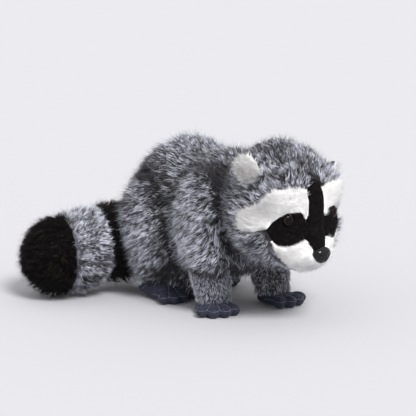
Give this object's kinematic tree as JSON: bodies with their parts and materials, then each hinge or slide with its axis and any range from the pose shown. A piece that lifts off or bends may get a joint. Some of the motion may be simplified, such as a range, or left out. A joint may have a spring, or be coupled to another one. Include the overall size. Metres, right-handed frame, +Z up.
{
  "type": "plush raccoon",
  "caption": "Long-pile plush raccoon resting on all fours, with a masked face, ringed tail, suede paws and feet, and moulded eyes and nose.",
  "frame": {"origin": "middle of the flat patch under the rump, on the surface that the animal rests on", "axes": "-Y is the way the animal faces, +X is its left side, +Z is up"},
  "size_m": [0.2257, 0.3145, 0.1755],
  "materials": {
    "grey_fur": "long pile, dark roots and frosted tips",
    "dark_fur": "black pile",
    "white_fur": "short white pile",
    "pale_fur": "short pale grey pile",
    "navy_suede": "brushed suede cloth",
    "black_plastic": "glossy moulding",
    "white_plastic": "plain moulding"
  },
  "bodies": {
    "root": {"torso": "grey_fur", "head": "grey_fur", "haunch_right": "grey_fur", "haunch_left": "grey_fur", "upper_arm_right": "grey_fur", "upper_arm_left": "grey_fur", "forearm_right": "grey_fur", "forearm_left": "grey_fur", "tail_grey_band": "grey_fur", "tail_root_band": "dark_fur", "tail_tip": "dark_fur", "forehead_stripe": "dark_fur", "eye_patch_right": "dark_fur", "eye_patch_left": "dark_fur", "ear_back_right": "dark_fur", "ear_back_left": "dark_fur", "brow_patch_right": "white_fur", "brow_patch_left": "white_fur", "muzzle": "white_fur", "ear_front_right": "white_fur", "ear_front_left": "white_fur", "hind_cuff_right": "pale_fur", "hind_cuff_left": "pale_fur", "hind_foot_right": "navy_suede", "hind_foot_left": "navy_suede", "front_paw_right": "navy_suede", "front_paw_left": "navy_suede", "eye_right": "black_plastic", "eye_left": "black_plastic", "nose": "black_plastic", "eye_washer_right": "white_plastic", "eye_washer_left": "white_plastic", "nose_washer": "white_plastic"}
  },
  "joints": []
}
